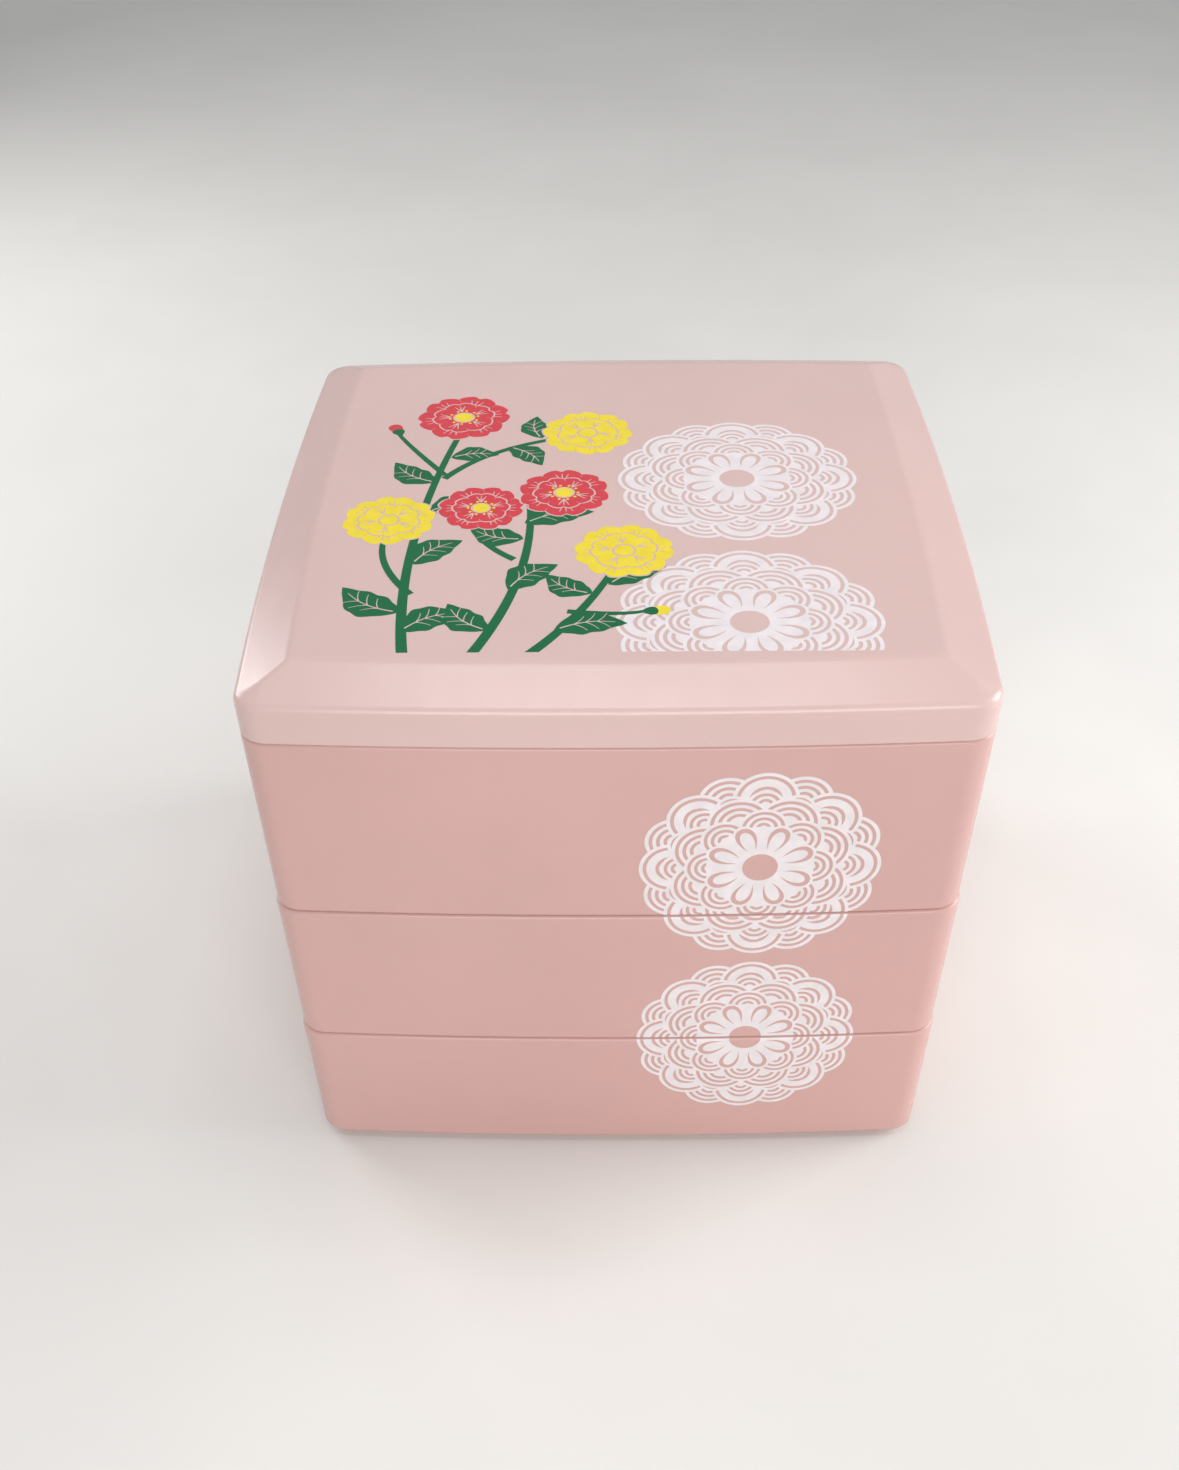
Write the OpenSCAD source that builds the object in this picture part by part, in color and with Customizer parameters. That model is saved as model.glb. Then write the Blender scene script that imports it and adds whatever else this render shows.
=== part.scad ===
// Stacking food box of three square tiers and a bevelled lid, moulded in plastic.
// Z = 0 is the surface that the box stands on, the origin is under its middle, and the front faces -Y.
// Every piece is one closed shell: its section, a list of [inset, height] points, is carried round the
// bowed square outline, where inset is how far a point lies inside the outline of the rims.

/* [Outline from above] */
// Width of the box across the middle of opposite sides
outer_w = 185; // [150:1:240]
// How far the middle of each side stands out past the line between its corners
side_bow = 2.5; // [1:0.1:5]
// Radius of the upright corners
corner_r = 8; // [6:0.5:16]

/* [Tiers] */
// Height of the bottom tier's wall
bottom_wall_h = 44.5; // [30:0.5:80]
// Height of the middle tier's wall
middle_wall_h = 48; // [30:0.5:80]
// Height of the top tier's wall
top_wall_h = 55; // [30:0.5:80]
// Thickness of the walls at the rim
wall_t = 2.4; // [2:0.1:4]
// How much further in a wall's foot is than its rim
wall_lean = 0.45; // [0.2:0.05:1.5]
// Thickness of the floors
floor_t = 2.2; // [1.6:0.1:4]
// Radius of the rims' outer edge
rim_r = 1.1; // [0.4:0.1:1.2]
// Radius of the rims' inner edge
mouth_r = 0.8; // [0.3:0.1:0.8]
// Radius of the walls' lower edge
wall_foot_r = 0.9; // [0.4:0.1:1.5]
// Radius where wall and floor meet inside
floor_fillet_r = 4; // [2:0.5:8]

/* [Foot rings] */
// Height of the ring under each tier
foot_h = 2.5; // [1.5:0.5:5]
// Thickness of that ring
foot_t = 2; // [1.4:0.1:4]
// Gap between a foot ring, or the lid's ring, and the mouth around it
seat_gap = 0.5; // [0.2:0.1:1]

/* [Lid] */
// Height of the lid's upright side
skirt_h = 10.4; // [6:0.2:20]
// Width of the slope round the flat panel
bevel_w = 13.2; // [8:0.1:25]
// Rise of that slope
bevel_rise = 5; // [2:0.1:10]
// Thickness of the lid's panel and slope
lid_t = 2.2; // [1.6:0.1:4]
// Radius of the edge between side and slope
shoulder_r = 2.6; // [1:0.1:4]
// Radius of the soft edge round the panel
crease_r = 6; // [2:0.5:12]
// Radius of the lower edge of the lid's side
skirt_foot_r = 0.6; // [0.3:0.1:1]
// Depth of the lid's ring inside the mouth
lid_ring_h = 3; // [2:0.5:6]
// Thickness of the lid's ring
lid_ring_t = 1.4; // [1:0.1:3]

/* [Hidden] */

tier_colour = [0.86, 0.69, 0.66];
lid_colour = [0.89, 0.75, 0.73];

// Steps along each side and round each corner, and along the small edges
side_steps = 6;
corner_steps = 5;
edge_steps = 3;
fillet_steps = 4;
ring_chamfer = 0.4;
least_corner_r = 1.5;

// Long arc of each side: its radius, and how far its centre lies past the middle of the box
half_w = outer_w / 2;
side_r = (pow(half_w - side_bow, 2) + pow(side_bow, 2)) / (2 * side_bow);
arc_back = side_r - half_w;

// Heights of the seams, each where a wall stands on the rim below
bottom_z = foot_h;
middle_z = bottom_z + bottom_wall_h;
top_z = middle_z + middle_wall_h;
lid_z = top_z + top_wall_h;

// Insets of the rings that reach into the mouth below
seat_inset = wall_t + seat_gap;
bevel_angle = atan2(bevel_rise, bevel_w);

function turned(p, angle) = [p.x * cos(angle) - p.y * sin(angle), p.x * sin(angle) + p.y * cos(angle)];

// Where the corner arc of an outline is centred, the same along X and Y
function corner_centre(inset, r) =
    (sqrt(2 * pow(side_r - inset - r, 2) - pow(arc_back, 2)) - arc_back) / 2;

// One quarter of an outline: the side that faces +X, then the corner after it
function quarter(inset, r, c, swing) = concat(
    [for (i = [0 : side_steps - 1])
        let (a = swing * (2 * i / side_steps - 1))
        [(side_r - inset) * cos(a) - arc_back, (side_r - inset) * sin(a)]],
    [for (i = [0 : corner_steps - 1])
        let (a = swing + (90 - 2 * swing) * i / corner_steps)
        [c + r * cos(a), c + r * sin(a)]]);

function outline(inset) =
    let (r = max(corner_r - inset, least_corner_r))
    let (c = corner_centre(inset, r))
    let (points = quarter(inset, r, c, atan2(c, c + arc_back)))
    [for (q = [0 : 3], p = points) turned(p, 90 * q)];

// Points of an arc in the section
function arc(centre, r, from, to, steps) =
    [for (i = [0 : steps]) let (a = from + (to - from) * i / steps) centre + r * [cos(a), sin(a)]];

// Closed solid from a section that starts under the middle and ends above it
module carried_round(section) {
    points = [for (s = section, p = outline(s[0])) [p.x, p.y, s[1]]];
    n = 4 * (side_steps + corner_steps);
    last = len(section) - 1;
    walls = [for (i = [0 : last - 1], j = [0 : n - 1])
        let (a = i * n + j, b = i * n + (j + 1) % n)
        each [[a, a + n, b + n], [a, b + n, b]]];
    under = [for (j = [0 : n - 1]) j];
    over = [for (j = [n - 1 : -1 : 0]) last * n + j];
    polyhedron(points = points, faces = concat([under], walls, [over]));
}

// Ring that hangs below height 0, from its inner face to its outer face
function hanging_ring(depth, thickness) = [
    [seat_inset + thickness, -depth],
    [seat_inset + ring_chamfer, -depth],
    [seat_inset, ring_chamfer - depth],
    [seat_inset, 0]];

module tier(wall_h) {
    inner_foot = wall_t + wall_lean;
    section = concat(
        [[seat_inset + foot_t, 0]],
        hanging_ring(foot_h, foot_t),
        arc([wall_lean + wall_foot_r, wall_foot_r], wall_foot_r, 270, 180, edge_steps),
        arc([rim_r, wall_h - rim_r], rim_r, 180, 90, edge_steps),
        arc([wall_t - mouth_r, wall_h - mouth_r], mouth_r, 90, 0, edge_steps),
        arc([inner_foot + floor_fillet_r, floor_t + floor_fillet_r], floor_fillet_r, 180, 270,
            fillet_steps));
    color(tier_colour) carried_round(section);
}

module bottom_tier() {
    translate([0, 0, bottom_z]) tier(bottom_wall_h);
}

module middle_tier() {
    translate([0, 0, middle_z]) tier(middle_wall_h);
}

module top_tier() {
    translate([0, 0, top_z]) tier(top_wall_h);
}

module lid() {
    panel_z = skirt_h + bevel_rise;
    slope = tan(bevel_angle);
    ring_inset = seat_inset + lid_ring_t;
    drop = lid_t / cos(bevel_angle);
    shoulder_z = skirt_h + shoulder_r * slope - shoulder_r / cos(bevel_angle);
    crease_run = crease_r * tan(bevel_angle / 2);
    mitre_inset = corner_r - least_corner_r;
    inner_crease = bevel_w + lid_t * tan(bevel_angle / 2);
    section = concat(
        [[inner_crease, panel_z - lid_t],
         [mitre_inset, skirt_h + mitre_inset * slope - drop],
         [ring_inset, skirt_h + ring_inset * slope - drop]],
        hanging_ring(lid_ring_h, lid_ring_t),
        arc([skirt_foot_r, skirt_foot_r], skirt_foot_r, 270, 180, edge_steps),
        arc([shoulder_r, shoulder_z], shoulder_r, 180, 90 + bevel_angle, fillet_steps),
        [[mitre_inset, skirt_h + mitre_inset * slope]],
        arc([bevel_w + crease_run, panel_z - crease_r], crease_r, 90 + bevel_angle, 90, edge_steps));
    color(lid_colour) translate([0, 0, lid_z]) carried_round(section);
}

bottom_tier();
middle_tier();
top_tier();
lid();
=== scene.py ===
import math

import bpy
import numpy as np
from mathutils import Matrix, Vector
from mathutils.geometry import delaunay_2d_cdt


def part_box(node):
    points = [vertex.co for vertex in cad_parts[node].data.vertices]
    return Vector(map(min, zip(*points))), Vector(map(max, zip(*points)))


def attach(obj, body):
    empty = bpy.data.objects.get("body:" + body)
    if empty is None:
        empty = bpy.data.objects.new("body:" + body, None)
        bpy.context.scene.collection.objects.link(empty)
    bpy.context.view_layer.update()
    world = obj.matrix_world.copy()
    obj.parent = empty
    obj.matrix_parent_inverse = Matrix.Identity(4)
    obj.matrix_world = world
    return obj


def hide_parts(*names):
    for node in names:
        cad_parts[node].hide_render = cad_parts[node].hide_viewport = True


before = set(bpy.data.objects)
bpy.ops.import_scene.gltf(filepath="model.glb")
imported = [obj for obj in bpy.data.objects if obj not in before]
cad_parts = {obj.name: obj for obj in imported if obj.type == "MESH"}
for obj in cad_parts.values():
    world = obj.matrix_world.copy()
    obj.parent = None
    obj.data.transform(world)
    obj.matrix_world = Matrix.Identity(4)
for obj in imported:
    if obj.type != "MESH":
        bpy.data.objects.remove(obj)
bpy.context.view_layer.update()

# Shapes are worked out in millimetres and turned into metres when a mesh is made
MM = 0.001

# Section of the tiers and the lid, as in the solids
SIDE_BOW = 2.5
CORNER_R = 8.0
LEAST_CORNER_R = 1.5
WALL_T = 2.4
WALL_LEAN = 0.45
FLOOR_T = 2.2
RIM_R = 1.1
MOUTH_R = 0.8
WALL_FOOT_R = 0.9
FLOOR_FILLET_R = 4.0
FOOT_H = 2.5
FOOT_T = 2.0
SEAT_GAP = 0.5
RING_CHAMFER = 0.4
SKIRT_H = 10.4
BEVEL_W = 13.2
BEVEL_RISE = 5.0
LID_T = 2.2
SHOULDER_R = 2.6
CREASE_R = 6.0
SKIRT_FOOT_R = 0.6
LID_RING_H = 3.0
LID_RING_T = 1.4

# Steps along the sides, round the corners and along the small edges of the fine shells
SIDE_STEPS = 48
CORNER_STEPS = 14
EDGE_STEPS = 8
FILLET_STEPS = 10
OUTLINE_POINTS = 4 * (SIDE_STEPS + CORNER_STEPS)

# A narrow strip at both ends of a long flat stretch keeps it flat in the shading
STRIP = 0.3
LEAST_STRETCH = 3 * STRIP
SMOOTH_BELOW = math.radians(32)

# The shells are drawn this far inside the solids, which leaves room for the print
SHELL_INSET = 0.04
PANEL_DROP = 0.05

# The print is a thin film that stands proud of the surface and reaches into it
INK_PROUD = 0.03
INK_SINK = 0.02

TIERS = ["bottom_tier", "middle_tier", "top_tier"]
HALF_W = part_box("bottom_tier")[1].x / MM
SIDE_R = ((HALF_W - SIDE_BOW) ** 2 + SIDE_BOW**2) / (2 * SIDE_BOW)
ARC_BACK = SIDE_R - HALF_W
SEAT_INSET = WALL_T + SEAT_GAP
BEVEL_ANGLE = math.atan2(BEVEL_RISE, BEVEL_W)
LID_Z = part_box("lid")[0].z / MM + LID_RING_H
PANEL_Z = LID_Z + SKIRT_H + BEVEL_RISE
QUARTER_TURN = np.array([[0, -1], [1, 0]])


# Shells

def wall_span(node):
    """Heights of a tier's wall foot and rim."""
    low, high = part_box(node)
    return low.z / MM + FOOT_H, high.z / MM


def polar(r, angles):
    """Points at distance r from the origin, or at a distance for each of the angles."""
    return np.stack([r * np.cos(angles), r * np.sin(angles)], 1)


def outline(inset):
    """Points of the bowed square, inset from the line of the rims."""
    inset = inset + SHELL_INSET
    r = max(CORNER_R - inset, LEAST_CORNER_R)
    c = (math.sqrt(2 * (SIDE_R - inset - r) ** 2 - ARC_BACK**2) - ARC_BACK) / 2
    swing = math.atan2(c, c + ARC_BACK)
    a = np.linspace(-swing, swing, SIDE_STEPS, endpoint=False)
    side = np.stack([(SIDE_R - inset) * np.cos(a) - ARC_BACK, (SIDE_R - inset) * np.sin(a)], 1)
    corner = c + polar(r, np.linspace(swing, math.pi / 2 - swing, CORNER_STEPS, endpoint=False))
    quarters = [np.vstack([side, corner])]
    for _ in range(3):
        quarters.append(quarters[-1] @ QUARTER_TURN.T)
    return np.vstack(quarters)


def arc(centre, r, start, end, steps):
    """Points of an arc in the section, with angles in degrees."""
    a = np.radians(np.linspace(start, end, steps + 1))
    return [(centre[0] + r * math.cos(x), centre[1] + r * math.sin(x)) for x in a]


def with_strips(section):
    """The section with a point near both ends of each long straight stretch."""
    points = [section[0]]
    for a, b in zip(section, section[1:]):
        a, b = np.array(a), np.array(b)
        length = np.linalg.norm(b - a)
        if length > LEAST_STRETCH:
            along = (b - a) / length * STRIP
            points += [tuple(a + along), tuple(b - along)]
        points.append(tuple(b))
    return points


def hanging_ring(depth, thickness):
    """Section of a ring that hangs below height 0, from its inner face to its outer face."""
    return [
        (SEAT_INSET + thickness, -depth),
        (SEAT_INSET + RING_CHAMFER, -depth),
        (SEAT_INSET, RING_CHAMFER - depth),
        (SEAT_INSET, 0),
    ]


def tier_section(wall_h):
    """Section of a tier from under its floor round to its floor, with the wall's foot at height 0."""
    foot = WALL_T + WALL_LEAN
    fillet = foot + FLOOR_FILLET_R
    section = [(SEAT_INSET + FOOT_T + STRIP, 0), (SEAT_INSET + FOOT_T, 0)]
    section += hanging_ring(FOOT_H, FOOT_T)
    section += arc((WALL_LEAN + WALL_FOOT_R, WALL_FOOT_R), WALL_FOOT_R, 270, 180, EDGE_STEPS)
    section += arc((RIM_R, wall_h - RIM_R), RIM_R, 180, 90, EDGE_STEPS)
    section += arc((WALL_T - MOUTH_R, wall_h - MOUTH_R), MOUTH_R, 90, 0, EDGE_STEPS)
    section += arc((fillet, FLOOR_T + FLOOR_FILLET_R), FLOOR_FILLET_R, 180, 270, FILLET_STEPS)
    section.append((fillet + STRIP, FLOOR_T))
    return with_strips(section)


def lid_section():
    """Section of the lid from under its panel round to its panel, with its lower edge at height 0."""
    panel = SKIRT_H + BEVEL_RISE
    slope = math.tan(BEVEL_ANGLE)
    lean = math.degrees(BEVEL_ANGLE)
    drop = LID_T / math.cos(BEVEL_ANGLE)
    shoulder_z = SKIRT_H + SHOULDER_R * slope - SHOULDER_R / math.cos(BEVEL_ANGLE)
    run = CREASE_R * math.tan(BEVEL_ANGLE / 2)
    mitre = CORNER_R - LEAST_CORNER_R
    ring = SEAT_INSET + LID_RING_T
    inner = BEVEL_W + LID_T * math.tan(BEVEL_ANGLE / 2)
    top = panel - PANEL_DROP
    section = [(inner + STRIP, panel - LID_T), (inner, panel - LID_T)]
    section += [(mitre, SKIRT_H + mitre * slope - drop), (ring, SKIRT_H + ring * slope - drop)]
    section += hanging_ring(LID_RING_H, LID_RING_T)
    section += arc((SKIRT_FOOT_R, SKIRT_FOOT_R), SKIRT_FOOT_R, 270, 180, EDGE_STEPS)
    section += arc((SHOULDER_R, shoulder_z), SHOULDER_R, 180, 90 + lean, FILLET_STEPS)
    section.append((mitre, SKIRT_H + mitre * slope))
    section += arc((BEVEL_W + run, top - CREASE_R), CREASE_R, 90 + lean, 90, EDGE_STEPS)
    section.append((BEVEL_W + run + STRIP, top))
    return with_strips(section)


def new_object(name, verts, faces):
    """An object from points in millimetres."""
    mesh = bpy.data.meshes.new(name)
    mesh.from_pydata([tuple(v) for v in np.asarray(verts) * MM], [], faces)
    mesh.update()
    piece = bpy.data.objects.new(name, mesh)
    bpy.context.scene.collection.objects.link(piece)
    return piece


def shell(name, section, base_z):
    """A closed shell: the section carried round the outline."""
    n = OUTLINE_POINTS
    rings = [np.column_stack([outline(inset), np.full(n, z + base_z)]) for inset, z in section]
    faces = [tuple(reversed(range(n)))]
    for i in range(len(rings) - 1):
        for j in range(n):
            a, b = i * n + j, i * n + (j + 1) % n
            faces.append((a, b, b + n, a + n))
    last = (len(rings) - 1) * n
    faces.append(tuple(range(last, last + n)))
    piece = new_object(name, np.vstack(rings), faces)
    piece.data.polygons.foreach_set("use_smooth", [True] * len(piece.data.polygons))
    piece.data.set_sharp_from_angle(angle=SMOOTH_BELOW)
    return piece


# Flat artwork: layers of loops, each painted over the ones before it, with ink None where the box shows

def circle(x, y, r, steps=48):
    return polar(r, np.linspace(0, 2 * math.pi, steps, endpoint=False)) + (x, y)


def at(r, angle):
    """The point at distance r from the origin."""
    return np.array([r * math.cos(angle), r * math.sin(angle)])


def placed(points, x, y, angle):
    """Points turned by an angle about the origin, then moved to x, y."""
    turn = np.array([[math.cos(angle), -math.sin(angle)], [math.sin(angle), math.cos(angle)]])
    return points @ turn.T + (x, y)


def moved(layers, x, y):
    return [(points + (x, y), ink) for points, ink in layers]


def ribbon(path, start_width, end_width):
    """A band of evenly changing width along a smooth path."""
    width = np.linspace(start_width, end_width, len(path))
    tangent = np.gradient(path, axis=0)
    tangent /= np.linalg.norm(tangent, axis=1)[:, None]
    side = np.stack([-tangent[:, 1], tangent[:, 0]], 1) * width[:, None] / 2
    return np.vstack([path + side, (path - side)[::-1]])


def bend(start, middle, end, steps):
    """A smooth bend from start to end, drawn towards middle."""
    t = np.linspace(0, 1, steps)[:, None]
    start, middle, end = (np.array(p, float) for p in (start, middle, end))
    return (1 - t) ** 2 * start + 2 * t * (1 - t) * middle + t**2 * end


def petal(angle, near, far, width):
    """A petal with a pointed inner end and a round tip."""
    t = np.linspace(0, 2 * math.pi, 40, endpoint=False)
    u = (1 - np.cos(t)) / 2
    side = np.sin(t) * width * np.sqrt(u)
    along = near + (far - near) * u
    ca, sa = math.cos(angle), math.sin(angle)
    return np.stack([along * ca - side * sa, along * sa + side * ca], 1)


# Lace, for a radius of 1

# For each row: how many scallops, how far out they sit, their turn in steps, and the radii of their bands
LACE_ROWS = [
    (8, 0.76, 0.5, [0.24, 0.208, 0.178, 0.148, 0.118, 0.088, 0.058]),
    (8, 0.72, 0.0, [0.265, 0.234, 0.204, 0.13, 0.1]),
    (16, 0.66, 0.0, [0.15, 0.122, 0.094, 0.066, 0.038]),
    (8, 0.5, 0.5, [0.265, 0.235, 0.205, 0.175, 0.145, 0.115, 0.085]),
    (8, 0.42, 0.0, [0.2, 0.172, 0.144, 0.116, 0.088, 0.06, 0.032]),
]
# Share of its sector that a scallop may fill, so that neighbours don't share an edge
SECTOR_FILL = 0.9995
HUB_R = 0.44
HUB_STEPS = 96
HUB_PETALS = 8
# Nested outlines of each hub petal: inner end, tip, width and ink
HUB_PETAL = [(0.13, 0.475, 0.125, "white"), (0.15, 0.448, 0.108, None), (0.13, 0.405, 0.07, "white")]
EYE = [(0.2, "white"), (0.145, None)]


def in_sector(points, angle, half):
    """Points outside a sector round the origin are drawn in to its nearer side."""
    r = np.hypot(points[:, 0], points[:, 1])
    off = np.arctan2(points[:, 1], points[:, 0]) - angle
    off = np.clip((off + math.pi) % (2 * math.pi) - math.pi, -half, half)
    return polar(r, angle + off)


def lobes(count, reach, turn, bands):
    """A round of nested scallops. Bands are radii, white and bare by turns from the outside in."""
    layers = []
    half = math.pi / count
    for k in range(count):
        angle = turn * 2 * half + 2 * half * k
        x, y = at(reach, angle)
        for i, r in enumerate(bands):
            ring = in_sector(circle(x, y, r), angle, half * SECTOR_FILL)
            layers.append((ring, "white" if i % 2 == 0 else None))
    return layers


def lace(radius):
    """Rows of scallops round a hub of petals."""
    layers = []
    for count, reach, turn, bands in LACE_ROWS:
        layers += lobes(count, reach, turn, bands)
    layers.append((circle(0, 0, HUB_R, HUB_STEPS), "white"))
    step = 2 * math.pi / HUB_PETALS
    for k in range(HUB_PETALS):
        for near, far, width, paint in HUB_PETAL:
            layers.append((petal(step * (k + 0.5), near, far, width), paint))
    layers += [(circle(0, 0, r), paint) for r, paint in EYE]
    return [(points * radius, paint) for points, paint in layers]


# Spray of blossoms

# For each stem: its foot, the point it bends towards, its tip, and its widths at the two ends
STEMS = [
    ((-50, -80), (-58, -30), (-44, 36), 2.8, 1.7),
    ((-36, -80), (-18, -40), (-24, 4), 2.8, 1.7),
    ((-24, -80), (-8, -62), (1, -34), 2.8, 1.7),
    ((-51, -50), (-62, -36), (-60, -22), 2.1, 1.5),
    ((-47, 8), (-36, 26), (-12, 32), 2.1, 1.5),
    ((-26, -34), (-36, -26), (-38, -16), 2.0, 1.4),
    ((-47, 10), (-58, 26), (-62, 34), 1.8, 1.2),
    ((-12, -58), (2, -60), (7, -58), 1.8, 1.2),
]
STEM_STEPS = 24

# For each leaf: where it grows from, its angle, its length and its width
LEAVES = [
    (-53, -58, 2.5, 19.04, 10.4), (-52, -66, 0.5, 16.8, 9.75), (-52, -36, 0.75, 16.8, 9.75),
    (-50, -10, 0.35, 15.68, 9.1), (-49, 6, 2.4, 16.8, 9.1), (-46, 20, 0.1, 13.44, 7.8),
    (-31, -66, 2.3, 15.68, 9.1), (-27, -48, 0.75, 16.8, 9.75), (-24, -24, 2.75, 15.68, 9.1),
    (-24, -16, 0.3, 19.04, 10.4), (-15, -66, 0.15, 17.92, 9.75), (-6, -50, 2.5, 14.56, 8.45),
    (-2, -46, 0.5, 16.8, 9.1), (-30, 26, -0.85, 14.56, 8.45), (-21, 31, 1.7, 13.44, 7.8),
]
LEAF_STEPS = 26
LEAF_FULLNESS = 0.85
LEAF_CURVE = 0.12
EDGE_WAVE = 0.06
EDGE_WAVES = 22
RIB_ENDS = slice(2, -4)
RIB_WIDTHS = (0.5, 0.25)
VEIN_ROOTS = (7, 11, 15)
VEIN_WIDTHS = (0.34, 0.2)
VEIN_STEPS = 8
# Shares of the leaf's length and half width at a vein's bend and tip
VEIN_BEND = (0.1, 0.25)
VEIN_TIP = (0.16, 0.72)

# For each bud: its place, its angle and its ink. Bud and cup have an inner end, a tip and a width
BUDS = [(-62, 35, 2.0, "coral"), (8, -58, 0.1, "yellow")]
BUD = (-1.0, 5.2, 2.6)
CUP = (-2.2, 2.2, 2.3)

# For each blossom: its middle, its radius, its ink and its turn
BLOSSOMS = [
    (-44, 44, 13.5, "coral", 0.2),
    (-8, 34, 13.0, "yellow", 0.75),
    (-60, -14, 12.5, "yellow", 0.45),
    (-36, -8, 11.5, "coral", 0.0),
    (-14, 0, 12.5, "coral", 0.6),
    (2, -30, 13.0, "yellow", 0.1),
]
# Rounds of petals for a radius of 1: reach, number and turn. Petals overlap, and their tips are notched
PETAL_ROUNDS = [(1.0, 6, 0.0), (0.66, 5, 0.35)]
PETAL_STEPS = 21
PETAL_OVERLAP = 1.1
PETAL_PARTING = 0.72
PETAL_ROUNDNESS = 0.35
NOTCH_DEPTH = 0.1
NOTCH_WIDTH = 0.16
PETAL_GAP = 0.55
# Bare lines on a petal: how far each leans to the side, and the reach and lean of its three points
PETAL_LINES = (-0.34, 0.0, 0.34)
PETAL_LINE = [(0.42, 0.0), (0.6, 0.6), (0.82, 1.0)]
PETAL_LINE_WIDTHS = (0.55, 0.25)
HEART = [(0.24, None), (0.19, "yellow")]
STAMENS = 10
STAMEN_REACH = 0.3
STAMEN_R = 0.42
STAMEN_STEPS = 12


def leaf(x, y, angle, length, width):
    """A pointed leaf with a bare midrib and veins."""
    t = np.linspace(0, 1, LEAF_STEPS)
    half = width / 2 * np.sin(math.pi * t**LEAF_FULLNESS) * (1 + EDGE_WAVE * np.sin(EDGE_WAVES * t))
    curve = LEAF_CURVE * length * np.sin(math.pi * t)
    edge = np.vstack([
        np.stack([length * t, curve + half], 1),
        np.stack([length * t, curve - half], 1)[::-1][1:-1],
    ])
    rib = np.stack([length * t, curve], 1)[RIB_ENDS]
    layers = [(edge, "green"), (ribbon(rib, *RIB_WIDTHS), None)]
    for k in VEIN_ROOTS:
        for s in (-1, 1):
            root = np.array([length * t[k], curve[k]])
            tip = root + (VEIN_TIP[0] * length, s * half[k] * VEIN_TIP[1])
            middle = root + (VEIN_BEND[0] * length, s * half[k] * VEIN_BEND[1])
            layers.append((ribbon(bend(root, middle, tip, VEIN_STEPS), *VEIN_WIDTHS), None))
    return [(placed(points, x, y, angle), paint) for points, paint in layers]


def bud(x, y, angle, paint):
    """A closed bud in its green cup."""
    layers = [(petal(0.0, *BUD), paint), (petal(0.0, *CUP), "green")]
    return [(placed(points, x, y, angle), colour) for points, colour in layers]


def blossom(x, y, radius, paint, turn):
    """A double blossom: two rounds of notched petals round a dotted heart."""
    layers = []
    for reach, count, shift in PETAL_ROUNDS:
        half = math.pi / count
        wide = half * PETAL_OVERLAP
        a = np.linspace(-wide, wide, PETAL_STEPS)
        bulge = np.cos(a / wide * math.pi / 2) ** PETAL_ROUNDNESS
        notch = 1 - NOTCH_DEPTH * np.exp(-((a / (NOTCH_WIDTH * half)) ** 2))
        r = reach * (PETAL_PARTING + (1 - PETAL_PARTING) * bulge) * notch
        for k in range(count):
            angle = turn + shift + 2 * half * k
            shape = np.vstack([polar(r, angle + a), [[0, 0]]])
            layers += [(shape * (radius + PETAL_GAP / reach), None), (shape * radius, paint)]
            for s in PETAL_LINES:
                path = [at(out * reach, angle + s * half * lean) for out, lean in PETAL_LINE]
                line = bend(*path, VEIN_STEPS) * radius
                layers.append((ribbon(line, *PETAL_LINE_WIDTHS), None))
    layers += [(circle(0, 0, r * radius), colour) for r, colour in HEART]
    for k in range(STAMENS):
        dot = at(STAMEN_REACH * radius, turn + 2 * math.pi * k / STAMENS)
        layers.append((circle(*dot, STAMEN_R, STAMEN_STEPS), "yellow"))
    return moved(layers, x, y)


def spray():
    """Blossoms, buds and leaves on bending stems."""
    layers = []
    for start, middle, end, foot, tip in STEMS:
        layers.append((ribbon(bend(start, middle, end, STEM_STEPS), foot, tip), "green"))
    for draw, table in ((leaf, LEAVES), (bud, BUDS), (blossom, BLOSSOMS)):
        for values in table:
            layers += draw(*values)
    return layers


# Films of ink

def inks_at(points, layers):
    """The ink that each point lies in: a list of names, None for bare."""
    topmost = np.full(len(points), -1)
    for index, (loop, _) in enumerate(layers):
        low, high = loop.min(0), loop.max(0)
        near = np.flatnonzero(((points >= low) & (points <= high)).all(1))
        if not len(near):
            continue
        px, py = points[near, 0][:, None], points[near, 1][:, None]
        x0, y0 = loop[:, 0][None], loop[:, 1][None]
        x1, y1 = np.roll(x0, -1, 1), np.roll(y0, -1, 1)
        rises = (y0 > py) != (y1 > py)
        with np.errstate(divide="ignore", invalid="ignore"):
            left = px < (x1 - x0) * (py - y0) / (y1 - y0) + x0
        topmost[near[(rises & left).sum(1) % 2 == 1]] = index
    return [None if i < 0 else layers[i][1] for i in topmost]


WELD = 1e-5


def flatten(layers, cuts):
    """Triangles that don't overlap, from layers that do. No triangle crosses a cut, which is a height."""
    coords, edges = [], []
    everything = np.vstack([points for points, _ in layers])
    low, high = everything.min(0) - 1, everything.max(0) + 1
    lines = [(points, True) for points, _ in layers]
    lines += [(np.array([[low[0], y], [high[0], y]]), False) for y in cuts if low[1] < y < high[1]]
    for points, closed in lines:
        first = len(coords)
        coords += [Vector(p) for p in points]
        edges += [(first + i, first + i + 1) for i in range(len(points) - 1)]
        if closed:
            edges.append((first + len(points) - 1, first))
    verts, _, faces, _, _, _ = delaunay_2d_cdt(coords, edges, [], 0, WELD, False)
    verts = np.array([tuple(v) for v in verts])
    faces = np.array([f for f in faces if len(f) == 3])
    centres = verts[faces].mean(1)
    return verts, faces, centres, np.array(inks_at(centres, layers), dtype=object)


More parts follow.
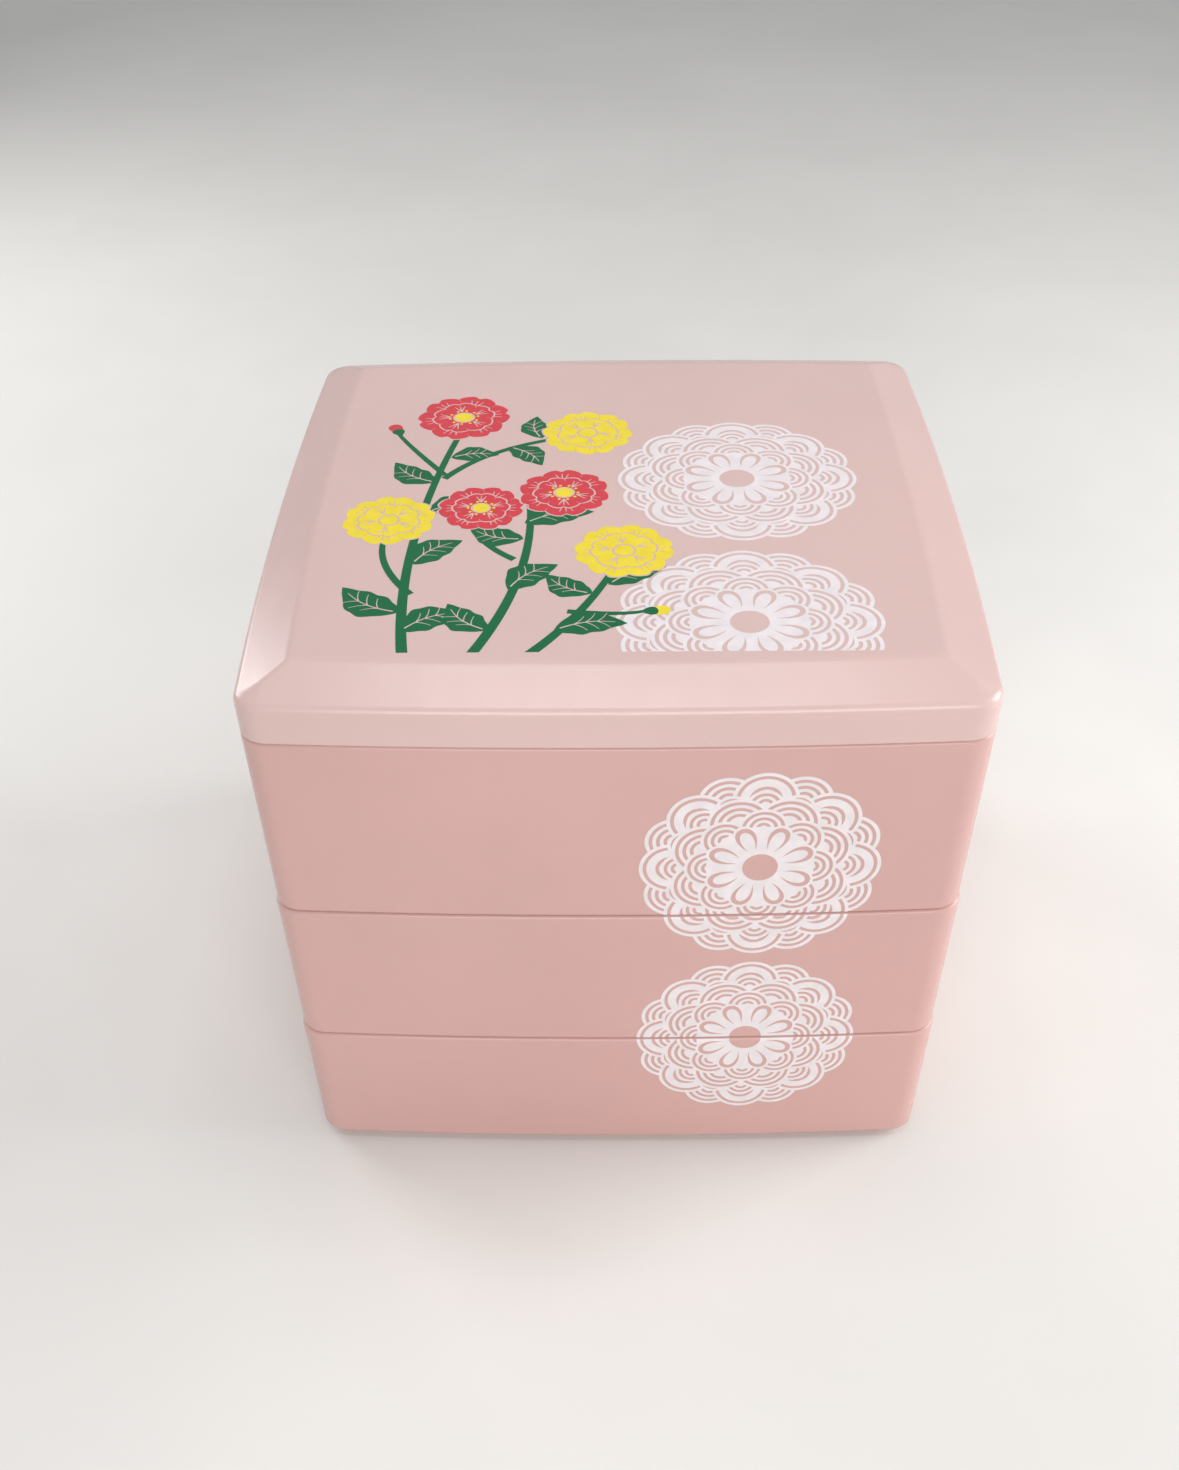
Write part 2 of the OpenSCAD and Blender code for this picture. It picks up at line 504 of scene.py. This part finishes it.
def film(name, verts, faces, place, body, slot, material):
    """A thin closed film over the faces. Place puts flat points on the surface, a height above it."""
    used, index = np.unique(faces, return_inverse=True)
    faces = index.reshape(-1, 3)
    flat = verts[used]
    n = len(flat)
    area = np.cross(flat[faces[:, 1]] - flat[faces[:, 0]], flat[faces[:, 2]] - flat[faces[:, 0]])
    faces = np.where((area < 0)[:, None], faces[:, ::-1], faces)
    solid = [tuple(f) for f in faces] + [tuple(f[::-1] + n) for f in faces]
    sides = np.vstack([faces[:, [0, 1]], faces[:, [1, 2]], faces[:, [2, 0]]])
    known = {tuple(e) for e in sides}
    solid += [(b, a, a + n, b + n) for a, b in known if (b, a) not in known]
    piece = new_object(name, np.vstack([place(flat, INK_PROUD), place(flat, -INK_SINK)]), solid)
    piece.data.materials.append(material)
    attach(piece, body)


# Materials

def srgb(red, green, blue):
    """A colour from 0 to 255 as the linear numbers that a shader takes."""
    def linear(c):
        c /= 255
        return c / 12.92 if c <= 0.04045 else ((c + 0.055) / 1.055) ** 2.4
    return (linear(red), linear(green), linear(blue), 1.0)


def tone(colour, factor):
    return tuple(min(c * factor, 1.0) for c in colour[:3]) + (1.0,)


class Nodes:
    """A material's node tree, with short calls for what repeats."""

    def __init__(self, name):
        self.material = bpy.data.materials.new(name)
        self.material.use_nodes = True
        self.tree = self.material.node_tree
        self.shader = self.tree.nodes["Principled BSDF"]
        self.place = self.add("ShaderNodeTexCoord").outputs["Object"]

    def add(self, kind, **values):
        node = self.tree.nodes.new(kind)
        for key, value in values.items():
            setattr(node, key, value)
        return node

    def link(self, a, b):
        self.tree.links.new(a, b)

    def noise(self, scale, detail, roughness=0.5, stretch=(1, 1, 1)):
        mapping = self.add("ShaderNodeMapping")
        mapping.inputs["Scale"].default_value = stretch
        node = self.add("ShaderNodeTexNoise")
        node.inputs["Scale"].default_value = scale
        node.inputs["Detail"].default_value = detail
        node.inputs["Roughness"].default_value = roughness
        self.link(self.place, mapping.inputs["Vector"])
        self.link(mapping.outputs["Vector"], node.inputs["Vector"])
        return node.outputs["Fac"]

    def cells(self, scale):
        node = self.add("ShaderNodeTexVoronoi")
        node.inputs["Scale"].default_value = scale
        self.link(self.place, node.inputs["Vector"])
        return node.outputs["Distance"]

    def ramp(self, factor, low, high):
        """A colour that runs between two stops, each a position and a colour."""
        node = self.add("ShaderNodeValToRGB")
        for element, (position, colour) in zip(node.color_ramp.elements, (low, high)):
            element.position = position
            element.color = colour
        self.link(factor, node.inputs["Fac"])
        return node.outputs["Color"]

    def span(self, factor, given, wanted):
        """The factor with the given range turned into the wanted range."""
        node = self.add("ShaderNodeMapRange")
        names = ("From Min", "From Max", "To Min", "To Max")
        for name, value in zip(names, given + wanted):
            node.inputs[name].default_value = value
        self.link(factor, node.inputs["Value"])
        return node.outputs["Result"]

    def times(self, a, b):
        node = self.add("ShaderNodeMath", operation="MULTIPLY")
        self.link(a, node.inputs[0])
        self.link(b, node.inputs[1])
        return node.outputs[0]

    def mix(self, factor, below, above):
        """The colour above laid over the socket below."""
        node = self.add("ShaderNodeMix", data_type="RGBA", blend_type="MIX")
        sockets = {s.name: s for s in node.inputs if s.enabled}
        self.link(factor, sockets["Factor"])
        self.link(below, sockets["A"])
        sockets["B"].default_value = above
        return [s for s in node.outputs if s.enabled][0]

    def bump(self, height, strength, distance, before=None):
        node = self.add("ShaderNodeBump")
        node.inputs["Strength"].default_value = strength
        node.inputs["Distance"].default_value = distance
        self.link(height, node.inputs["Height"])
        if before is not None:
            self.link(before, node.inputs["Normal"])
        return node.outputs["Normal"]


# Warm patches keep these shares of the plastic's red, green and blue
WARMTH = (1.01, 0.965, 0.95)
DUST_TONE = 0.6
PLASTIC_IOR = 1.49
PLASTIC_SUBSURFACE = 0.08
PLASTIC_SUBSURFACE_RADIUS = (0.004, 0.002, 0.0016)
INK_IOR = 1.46
INK_ROUGHNESS = (0.29, 0.41)


def plastic(name, colour):
    """Moulded satin plastic: cloudy colour, faint dust, fine scratches and a faint orange peel."""
    n = Nodes(name)
    inputs = n.shader.inputs
    clouds = n.noise(scale=14, detail=3, roughness=0.55)
    body = n.ramp(clouds, (0.3, tone(colour, 0.965)), (0.7, tone(colour, 1.03)))
    warm = tuple(c * share for c, share in zip(colour, WARMTH)) + (1.0,)
    patches = n.span(n.noise(scale=7, detail=1), (0.4, 0.7), (0.0, 0.5))
    body = n.mix(patches, body, warm)
    specks = n.span(n.cells(scale=70), (0.012, 0.03), (1.0, 0.0))
    spread = n.span(n.noise(scale=31, detail=0), (0.62, 0.7), (0.0, 0.16))
    dusty = n.mix(n.times(specks, spread), body, tone(colour, DUST_TONE))
    n.link(dusty, inputs["Base Color"])
    rub = n.noise(scale=160, detail=3, roughness=0.6, stretch=(1, 0.18, 1))
    n.link(n.span(rub, (0.35, 0.75), (0.2, 0.27)), inputs["Roughness"])
    peel = n.bump(n.noise(scale=300, detail=2), strength=0.03, distance=0.0002)
    scratches = n.noise(scale=900, detail=1, stretch=(1, 0.05, 1))
    height = n.span(scratches, (0.68, 0.78), (0.0, 1.0))
    n.link(n.bump(height, strength=0.015, distance=0.0001, before=peel), inputs["Normal"])
    inputs["IOR"].default_value = PLASTIC_IOR
    inputs["Subsurface Weight"].default_value = PLASTIC_SUBSURFACE
    inputs["Subsurface Radius"].default_value = PLASTIC_SUBSURFACE_RADIUS
    inputs["Subsurface Scale"].default_value = 1.0
    return n.material


def ink(name, colour):
    """Screen print: slightly uneven cover and a fine grain."""
    n = Nodes(name)
    inputs = n.shader.inputs
    cover = n.noise(scale=230, detail=3, roughness=0.6)
    n.link(n.ramp(cover, (0.32, tone(colour, 0.93)), (0.68, tone(colour, 1.03))), inputs["Base Color"])
    n.link(n.span(n.noise(scale=500, detail=2), (0.3, 0.7), INK_ROUGHNESS), inputs["Roughness"])
    grain = n.noise(scale=1400, detail=2)
    n.link(n.bump(grain, strength=0.08, distance=0.00005), inputs["Normal"])
    inputs["IOR"].default_value = INK_IOR
    return n.material


TIER_PINK = plastic("tier_pink_plastic", srgb(212, 170, 164))
LID_PINK = plastic("lid_pink_plastic", srgb(220, 189, 184))
INKS = {
    "white": ("ink_white", ink("white_print", srgb(238, 229, 231))),
    "coral": ("ink_coral", ink("coral_print", srgb(216, 64, 76))),
    "yellow": ("ink_yellow", ink("yellow_print", srgb(244, 220, 56))),
    "green": ("ink_green", ink("green_print", srgb(2, 104, 60))),
}


# Tiers and lid

for tier in TIERS:
    foot_z, rim_z = wall_span(tier)
    tub = shell(tier + "_shell", tier_section(rim_z - foot_z), foot_z)
    tub.data.materials.append(TIER_PINK)
    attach(tub, tier)
    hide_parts(tier)

cover = shell("lid_shell", lid_section(), LID_Z)
cover.data.materials.append(LID_PINK)
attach(cover, "lid")
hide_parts("lid")


# Print on the front: two rounds of lace that run across the seams

FRONT_LACE = [(36.0, 111.8), (36.0, 47.4)]
FRONT_LACE_R = 31.0
# The print stops this far from a wall's foot and rim, and is cut where their rounding turns
PRINT_FROM_FOOT = 0.12
PRINT_FROM_RIM = 0.25
FOOT_TURNS = np.linspace(0.5, math.pi / 2, 5)
RIM_TURNS = np.linspace(0.6, math.pi / 2, 5)


def rounding(r, distance):
    """How far in a rounded edge lies at a distance from its end."""
    reach = np.clip(r - distance, 0, None)
    return r - np.sqrt(np.clip(r**2 - reach**2, 0, None))


def wall_inset(z, foot_z, rim_z):
    """How far in the wall's face lies at a height, its rounded foot and rim included."""
    up, down = z - foot_z, rim_z - z
    straight = rim_z - foot_z - RIM_R - WALL_FOOT_R
    slant = WALL_LEAN * (1 - np.clip((up - WALL_FOOT_R) / straight, 0, 1))
    return slant + rounding(WALL_FOOT_R, up) + rounding(RIM_R, down) + SHELL_INSET


def on_wall(foot_z, rim_z):
    """A function that puts flat points on the front of a wall."""
    def place(flat, height):
        inset = wall_inset(flat[:, 1], foot_z, rim_z) - height
        y = ARC_BACK - np.sqrt((SIDE_R - inset) ** 2 - flat[:, 0] ** 2)
        return np.column_stack([flat[:, 0], y, flat[:, 1]])
    return place


def print_front(layers):
    cuts = []
    for tier in TIERS:
        foot_z, rim_z = wall_span(tier)
        up = [WALL_FOOT_R * (1 - math.cos(a)) for a in FOOT_TURNS]
        down = [RIM_R * (1 - math.cos(a)) for a in RIM_TURNS]
        cuts += [foot_z + PRINT_FROM_FOOT, rim_z - PRINT_FROM_RIM]
        cuts += [foot_z + z for z in up if z > PRINT_FROM_FOOT]
        cuts += [rim_z - z for z in down if z > PRINT_FROM_RIM]
    verts, faces, centres, inks = flatten(layers, cuts)
    for tier in TIERS:
        foot_z, rim_z = wall_span(tier)
        above = centres[:, 1] > foot_z + PRINT_FROM_FOOT
        below = centres[:, 1] < rim_z - PRINT_FROM_RIM
        chosen = faces[above & below & (inks == "white")]
        film("lace_print_" + tier, verts, chosen, on_wall(foot_z, rim_z), tier, *INKS["white"])


# Print on the lid: lace on the right, the spray on the left, both cut straight at the front

LID_LACE = [(33.0, 7.0), (32.0, -63.0)]
LID_LACE_R = 33.0
PRINT_FRONT_Y = -75.2


def on_panel(flat, height):
    return np.column_stack([flat, np.full(len(flat), PANEL_Z - PANEL_DROP + height)])


def print_lid(layers):
    verts, faces, centres, inks = flatten(layers, [PRINT_FRONT_Y])
    behind = centres[:, 1] > PRINT_FRONT_Y
    for colour, (slot, material) in INKS.items():
        kind = "lace_print" if colour == "white" else colour + "_print"
        film(kind + "_lid", verts, faces[behind & (inks == colour)], on_panel, "lid", slot, material)


print_front([layer for x, z in FRONT_LACE for layer in moved(lace(FRONT_LACE_R), x, z)])
print_lid([layer for x, y in LID_LACE for layer in moved(lace(LID_LACE_R), x, y)] + spray())


# Floor, light and camera

FLOOR_HALF = 4000
WORLD_COLOUR = (0.96, 0.98, 1.0, 1.0)
WORLD_STRENGTH = 0.38
LAMP_TARGET = (0, 0, 0.1)
# Softboxes: name, place, size and watts
LAMPS = [
    ("window", (0.9, 0.1, 0.45), (0.6, 0.6), 6.2),
    ("front", (0.1, -1.1, 0.6), (0.9, 0.5), 6.6),
    ("overhead", (0.0, 0.0, 1.2), (0.5, 0.5), 2.8),
    ("back_left", (-0.7, 0.5, 0.45), (0.4, 0.4), 2.6),
]

# Lens, place and angles of the photograph's camera, in pixels, metres and radians
FOCAL_PX = 1524.4
CENTRE_ROW_PX = 944.0
IMAGE_H_PX = 1470
CAMERA_AT = (-0.0008, -0.3769, 0.3707)
PITCH = 0.7869
YAW = -0.0228
ROLL = -0.0185
SENSOR = 36.0
CLIP_START = 0.01


def make_floor():
    n = Nodes("floor_paint")
    inputs = n.shader.inputs
    clouds = n.noise(scale=6, detail=3)
    n.link(n.ramp(clouds, (0.3, srgb(226, 224, 220)), (0.7, srgb(232, 230, 226))), inputs["Base Color"])
    n.link(n.span(n.noise(scale=40, detail=2), (0.3, 0.7), (0.6, 0.75)), inputs["Roughness"])
    n.link(n.bump(n.noise(scale=300, detail=2), strength=0.05, distance=0.0005), inputs["Normal"])
    corners = [(x * FLOOR_HALF, y * FLOOR_HALF, 0) for x, y in ((-1, -1), (1, -1), (1, 1), (-1, 1))]
    floor = new_object("floor", corners, [(0, 1, 2, 3)])
    floor.data.materials.append(n.material)


def softbox(name, place, size, watts):
    light = bpy.data.lights.new(name, "AREA")
    light.shape = "RECTANGLE"
    light.size, light.size_y = size
    light.energy = watts
    lamp = bpy.data.objects.new(name, light)
    lamp.location = place
    lamp.rotation_mode = "QUATERNION"
    lamp.rotation_quaternion = (Vector(LAMP_TARGET) - Vector(place)).to_track_quat("-Z", "Y")
    bpy.context.scene.collection.objects.link(lamp)


def make_light():
    world = bpy.data.worlds.new("studio")
    world.use_nodes = True
    background = world.node_tree.nodes["Background"]
    background.inputs["Color"].default_value = WORLD_COLOUR
    background.inputs["Strength"].default_value = WORLD_STRENGTH
    bpy.context.scene.world = world
    for lamp in LAMPS:
        softbox(*lamp)


def make_camera():
    data = bpy.data.cameras.new("camera")
    data.sensor_width = SENSOR
    data.lens = FOCAL_PX / IMAGE_H_PX * SENSOR
    data.shift_y = (CENTRE_ROW_PX - IMAGE_H_PX / 2) / IMAGE_H_PX
    data.clip_start = CLIP_START
    camera = bpy.data.objects.new("camera", data)
    level = math.cos(PITCH)
    ahead = Vector((math.sin(YAW) * level, math.cos(YAW) * level, -math.sin(PITCH)))
    right = Vector((math.cos(YAW), -math.sin(YAW), 0))
    up = right.cross(ahead)
    rolled_right = math.cos(ROLL) * right + math.sin(ROLL) * up
    rolled_up = math.cos(ROLL) * up - math.sin(ROLL) * right
    turn = Matrix((rolled_right, rolled_up, -ahead)).transposed()
    camera.matrix_world = Matrix.Translation(CAMERA_AT) @ turn.to_4x4()
    bpy.context.scene.collection.objects.link(camera)
    bpy.context.scene.camera = camera


make_floor()
make_light()
make_camera()
bpy.context.scene.view_settings.view_transform = "Standard"
